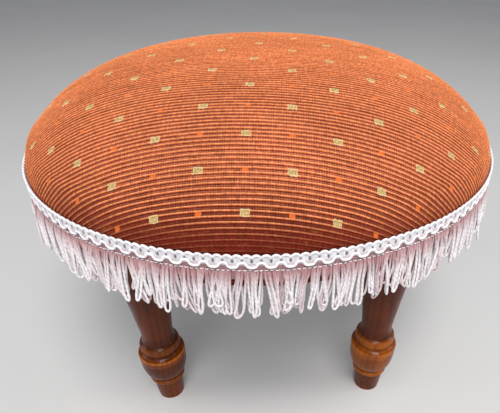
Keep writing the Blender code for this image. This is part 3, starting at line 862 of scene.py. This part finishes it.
def make_loops(name, seed, look, base_radius, first_turn, swing, layer_shade, replaces=()):
    """One layer of the fringe: loops of yarn, each with its own length, width, tilt and twist."""
    rng = np.random.default_rng(seed)
    count = LOOPS_IN_A_LAYER
    step = TURN / count
    angle = first_turn + np.arange(count) * step + rng.normal(0, 0.16, count) * step
    top = GIMP_LOW.z - 2.2 * MM + rng.normal(0, 0.25, count) * MM
    length = top - LOOPS_LOW.z - rng.gamma(1.5, 2.3, count).clip(0, 10) * MM + 0.8 * MM
    # Neighbouring loops lean together in bunches
    bunches = 46
    bunch_at = rng.uniform(0, TURN, bunches)
    away = (angle[:, None] - bunch_at[None, :] + math.pi) % TURN - math.pi
    pull = (-away * np.exp(-((away * TRIM_RADIUS / (7 * MM)) ** 2))).sum(1) * TRIM_RADIUS
    tilt = pull * 1.2 + rng.normal(0, 3.1, count) * MM
    bow = rng.normal(0, 0.9, count) * MM
    plane = rng.normal(0, 0.55, count)
    belly = rng.uniform(1.9, 5.2, count) * MM
    neck = rng.uniform(0.9, 2.4, count) * MM * np.where(rng.random(count) < 0.16, -1, 1)
    out = rng.normal(0.3, swing, count) * MM
    # Knots down one side of a loop, round its end and up the other: place across, share of its depth
    side = np.array([-1, -1, -1, -1, -0.86, 0, 0.86, 1, 1, 1, 1])
    depth = np.array([0, 0.16, 0.45, 0.76, 0.93, 1.0, 0.93, 0.76, 0.45, 0.16, 0])
    spread = np.array([0, 0.15, 0.55, 0.95, 1, 1, 1, 0.95, 0.55, 0.15, 0])
    wide = neck[:, None] * (1 - spread) + belly[:, None] * spread
    wobble = rng.normal(0, 0.28, (count, len(side))) * MM * (depth * (1 - depth) * 3 + 0.1)
    across = 0.5 * side * wide + wobble + tilt[:, None] * depth**1.25
    across = across + bow[:, None] * np.sin(depth * math.pi)
    drop = depth * length[:, None]
    turn_in = 0.5 * side * wide * np.sin(plane)[:, None]
    sideways = across - 0.5 * side * wide * (1 - np.cos(plane))[:, None]
    free = np.clip(depth / 0.3, 0, 1) ** 0.8
    lift = HEADER_FACE + (base_radius - HEADER_FACE) * free + out[:, None] * depth**1.4 + turn_in * free
    lift = np.maximum(lift, HEADER_FACE)
    knots = np.stack([sideways, lift, drop], -1)
    curve = smooth_through(knots, YARN_POINTS)
    where = angle[:, None] + curve[..., 0] / TRIM_RADIUS
    path = ring_place(where, curve[..., 1], top[:, None] - curve[..., 2])
    normal = outward(where) * np.cos(plane)[:, None, None]
    tangent = np.stack([-np.sin(where), np.cos(where), 0 * where], -1)
    facing = normal - tangent * np.sin(plane)[:, None, None]
    thick = YARN_RADIUS * rng.uniform(0.9, 1.12, count)[:, None]
    points, faces, corner_uv = tubes(path, facing, thick, YARN_SIDES)
    hung = np.clip(curve[..., 2] / (14 * MM), 0, 1)
    # Painted shade for each loop: its layer's, spread a little from loop to loop, and more towards the
    # loop's top
    tone = np.clip(rng.normal(layer_shade, 0.14, count), 0, 0.6)
    shadow = np.clip((1 - hung) ** 1.3 * 1.05 + tone[:, None], 0, 1)
    shadow = np.repeat(shadow.ravel(), YARN_SIDES)
    add_piece(name, points, faces, look, corner_uv, {"shadow": shadow}, slot="fringe_yarn",
              replaces=replaces)


# ---------------------------------------------------------------- legs

def arc(middle, across, up, start, end, steps):
    turns = np.radians(np.linspace(start, end, steps))
    return [(middle[0] + across * math.cos(t), middle[1] + up * math.sin(t)) for t in turns]


def leg_section():
    """Radius and height up one turned leg in millimetres, with how much wear and how much painted shade each
    point gets.
    """
    low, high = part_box("leg_front_left")
    height = (high.z - low.z) / MM
    bottom = low.z / MM
    neck, neck_height, flare, top = 13.6, 83, 25.4, height - 1.2
    # Each part: its points, their wear, and their painted shade, dark in the grooves between the rings and
    # under the foot
    parts = [
        ([(0, 0), (3, 0), (7, 0), (10.2, 0), (10.9, 0)], 0.1, 0.3),
        (arc((11.1, 0.9), 0.9, 0.9, -90, -10, 6), 0.9, 0.0),
        ([(12.05, 1.6), (12.45, 6), (12.9, 12), (13.35, 17.5), (13.7, 21.5), (13.8, 22.6)], 0.12, 0.0),
        ([(13.7, 23.3), (13.4, 23.9)], 0.5, 0.1),
        ([(13.1, 24.3)], 0.0, 1.0),
        (arc((13.3, 27.2), 2.8, 2.7, -78, 78, 15), 0.40, 0.0),
        ([(13.4, 30.0), (13.6, 30.6)], 0.0, 1.0),
    ]
    ball = arc((14, 52.6), 6.6, 21, -82, 0, 26)
    parts += [
        (ball, 0.05, 0.0),
        ([(20.7, 55.2), (20.75, 58.0)], 0.30, 0.0),
        (arc((20.0, 59.6), 0.75, 1.0, -20, 88, 7), 1.0, 0.0),
        ([(19.4, 60.8), (18.6, 61.4), (17.6, 62.0)], 0.3, 0.2),
        ([(16.9, 62.6), (16.5, 63.3), (16.5, 64.1)], 0.1, 0.4),
        (arc((16.4, 68.8), 1.3, 4.2, -72, 72, 15), 0.28, 0.0),
        ([(16.2, 73.2), (15.4, 73.8)], 0.2, 0.5),
        ([(14.8, 74.4), (14.2, 76.0), (13.85, 78.5), (13.65, 81)], 0.05, 0.25),
    ]
    shares = np.linspace(0, 1, 34)
    parts.append(([(neck + (flare - neck) * s**1.08, neck_height + (top - neck_height) * s) for s in shares],
                  0.06, 0.0))
    bolt_low, bolt_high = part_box("hanger_bolt_front_left")
    bore = (bolt_high.x - bolt_low.x) / 2 / MM + 0.3
    bore_end = (bolt_low.z - low.z) / MM - 0.5
    parts.append(([(flare - 0.3, height - 0.35), (flare - 1.2, height), (bore, height), (bore, bore_end),
                   (0, bore_end)], 0.1, 0.2))
    section = [(r * MM, (z + bottom) * MM) for points, _, _ in parts for r, z in points]
    wear = [w for points, w, _ in parts for _ in points]
    leg_shade = [g for points, _, g in parts for _ in points]
    return section, wear, leg_shade


def make_legs(look):
    section, wear, leg_shade = leg_section()
    for name in LEG_NAMES:
        node = "leg_" + name
        middle = middle_of(node)
        # One leg's turned rings get painted light added on top of their wear
        ringed = [24 * MM < z < 74 * MM for _, z in section]
        ring_wear_and_light = np.clip(np.array(wear) + LIT_RINGS.get(name, 0.0) * np.array(ringed), 0, 1)
        leg = turned("turned_" + node, section, LEG_STEPS, look, (middle.x, middle.y, 0),
                     {"wear": ring_wear_and_light, "shadow": leg_shade}, slot="leg_wood", replaces=[node])
        leg.rotation_euler.z = math.radians(73 * LEG_NAMES.index(name) + 20)


# ---------------------------------------------------------------- underside

def bottom_plan(radius, holes):
    """Flat points and triangles of a disc with round holes, each hole given as x, y, radius and steps."""
    plan, edges = [], []
    for x, y, size, steps in [(0, 0, radius, 144), *holes]:
        start = len(plan)
        plan += [Vector((x + size * math.cos(t), y + size * math.sin(t))) for t in turn_steps(steps)]
        edges += [(start + k, start + (k + 1) % steps) for k in range(steps)]
    spacing = 5 * MM
    reach = int(radius / spacing)
    for i in range(-reach, reach + 1):
        for j in range(-reach, reach + 1):
            spot = Vector(((i + 0.5 * (j % 2)) * spacing, j * spacing))
            clear = all((spot - Vector((x, y))).length > size + 1.5 * MM for x, y, size, _ in holes)
            if spot.length < radius - 2.5 * MM and clear:
                plan.append(spot)
    flat, _, triangles = delaunay_2d_cdt(plan, edges, [], 0, 1e-7)[:3]
    kept = []
    for triangle in triangles:
        middle = sum((flat[i] for i in triangle), Vector((0, 0))) / 3
        if all((middle - Vector((x, y))).length > size * 0.98 for x, y, size, _ in holes):
            kept.append(tuple(triangle))
    return np.array([tuple(p) for p in flat]), kept


def make_bottom_cloth(look):
    """The bottom cloth: a thin disc, pulled tight between its tacks, with holes for the leg bolts."""
    radius = DUST_HIGH.x
    thickness = DUST_HIGH.z - DUST_LOW.z
    bolts = [middle_of("hanger_bolt_" + name) for name in LEG_NAMES]
    tacks = [middle_of(f"dust_cover_tack_{k:02d}") for k in range(1, TACKS + 1)]
    holes = [(b.x, b.y, 3.5 * MM, 20) for b in bolts] + [(t.x, t.y, 1.2 * MM, 12) for t in tacks]
    place, triangles = bottom_plan(radius, holes)
    turn, reach = np.arctan2(place[:, 1], place[:, 0]), np.hypot(place[:, 0], place[:, 1]) / radius
    pull = np.cos(turn * TACKS) * np.clip(reach - 0.55, 0, 1) * 2
    slack = -0.12 * MM * (1 - reach**2) + 0.10 * MM * pull * np.sin(reach * 60)
    under = np.column_stack([place, DUST_LOW.z + slack])
    over = np.column_stack([place, DUST_LOW.z + thickness + slack])
    count = len(place)
    faces = [t[::-1] for t in triangles] + [tuple(i + count for i in t) for t in triangles]
    used = dict.fromkeys(pair for a, b, c in triangles for pair in ((a, b), (b, c), (c, a)))
    faces += [(a, b, b + count, a + count) for a, b in used if (b, a) not in used]
    piece = add_piece("bottom_cloth", np.concatenate([under, over]), faces, look, slot="bottom_cloth",
                      replaces=["dust_cover"])


def dress_cad_nodes():
    """Better materials for the CAD pieces that stay as they are."""
    ply = ply_look()
    plated = metal_look("plated_steel", (0.62, 0.61, 0.58), (0.35, 0.34, 0.32), 0.32)
    blued = metal_look("blued_steel", (0.055, 0.062, 0.080), (0.10, 0.075, 0.055), 0.38)
    for name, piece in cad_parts.items():
        look = {"seat": ply, "hang": plated, "tee_": plated}.get(name[:4])
        if "tack" in name:
            look = blued
        if look:
            for slot in piece.material_slots:
                slot.material = look


# ---------------------------------------------------------------- room, lights and camera

def add_light(name, place, size, power, colour):
    lamp = bpy.data.lights.new(name, "AREA")
    lamp.shape = "DISK"
    lamp.size = size
    lamp.energy = power
    lamp.color = colour
    made = bpy.data.objects.new(name, lamp)
    bpy.context.scene.collection.objects.link(made)
    made.location = place
    made.rotation_mode = "QUATERNION"
    made.rotation_quaternion = (Vector(LIGHT_TARGET) - Vector(place)).to_track_quat("-Z", "Y")


def make_room():
    """A plain pale floor, a soft even sky and the studio lights."""
    mesh = bpy.data.meshes.new("floor")
    corners = [(x * FLOOR_HALF, y * FLOOR_HALF, 0) for x, y in ((-1, -1), (1, -1), (1, 1), (-1, 1))]
    mesh.from_pydata(corners, [], [(0, 1, 2, 3)])
    mesh.materials.append(floor_look())
    floor = bpy.data.objects.new("floor", mesh)
    bpy.context.scene.collection.objects.link(floor)
    world = bpy.data.worlds.new("studio")
    world.use_nodes = True
    sky = world.node_tree.nodes["Background"]
    sky.inputs["Color"].default_value = (0.93, 0.95, 1.0, 1)
    sky.inputs["Strength"].default_value = 0.28
    bpy.context.scene.world = world
    for light in LIGHTS:
        add_light(*light)


def make_camera():
    """The photograph's viewpoint: close, above the front of the seat, and off the picture's middle."""
    heading = math.radians(3.3)
    pitch = math.radians(39.59)
    roll = math.radians(0.38)
    ahead = Vector((math.sin(heading), math.cos(heading), 0))
    right = Vector((math.cos(heading), -math.sin(heading), 0))
    forward = ahead * math.cos(pitch) - Vector((0, 0, math.sin(pitch)))
    up = ahead * math.sin(pitch) + Vector((0, 0, math.cos(pitch)))
    level = right * math.cos(roll) + up * math.sin(roll)
    upright = up * math.cos(roll) - right * math.sin(roll)
    lens = bpy.data.cameras.new("camera")
    lens.sensor_width = 36.0
    lens.lens = 31.37
    lens.shift_x = -0.0719
    lens.shift_y = 0.1604
    lens.clip_start = 0.01
    lens.clip_end = 100
    camera = bpy.data.objects.new("camera", lens)
    bpy.context.scene.collection.objects.link(camera)
    axes = Matrix((level, upright, -forward)).transposed()
    camera.matrix_world = Matrix.Translation((-0.0003, -0.3769, 0.3590)) @ axes.to_4x4()
    bpy.context.scene.camera = camera
    bpy.context.scene.view_settings.view_transform = "Standard"


def main():
    make_camera()
    make_room()
    cover = make_cover(cloth_look())
    make_padding(soft_fill_look("foam", (0.86, 0.78, 0.52), (0.66, 0.55, 0.32), 900.0),
                 soft_fill_look("batting", (0.90, 0.90, 0.88), (0.72, 0.72, 0.70), 500.0))
    # The threads' dark colours, used for their painted shade, are pink: painted red reflected light
    white = thread_look("braid_thread", (0.95, 0.94, 0.97), (0.50, 0.36, 0.38), 2.4 * MM)
    make_braid(white, tape_look("braid_wrap", (0.93, 0.92, 0.95), (0.78, 0.73, 0.77), (0.06, 0.018, 0.022)))
    # The fringe tape is painted dark pink all over: painted shade under the braid and painted red reflected
    # light
    make_header(tape_look("fringe_tape", (0.56, 0.32, 0.32), (0.34, 0.15, 0.16), (0.31, 0.12, 0.13)), white)
    yarn = thread_look("fringe_yarn", (0.93, 0.90, 0.92), (0.45, 0.23, 0.24), 3.4 * MM, 0.65, 0.3)
    for k, (name, *hang) in enumerate(FRINGE_LAYERS):
        make_loops(name, SEED + 2 + k, yarn, *hang, replaces=["fringe_loops"] if k == 0 else ())
    make_legs(varnish_look())
    make_bottom_cloth(bottom_cloth_look())
    dress_cad_nodes()


main()
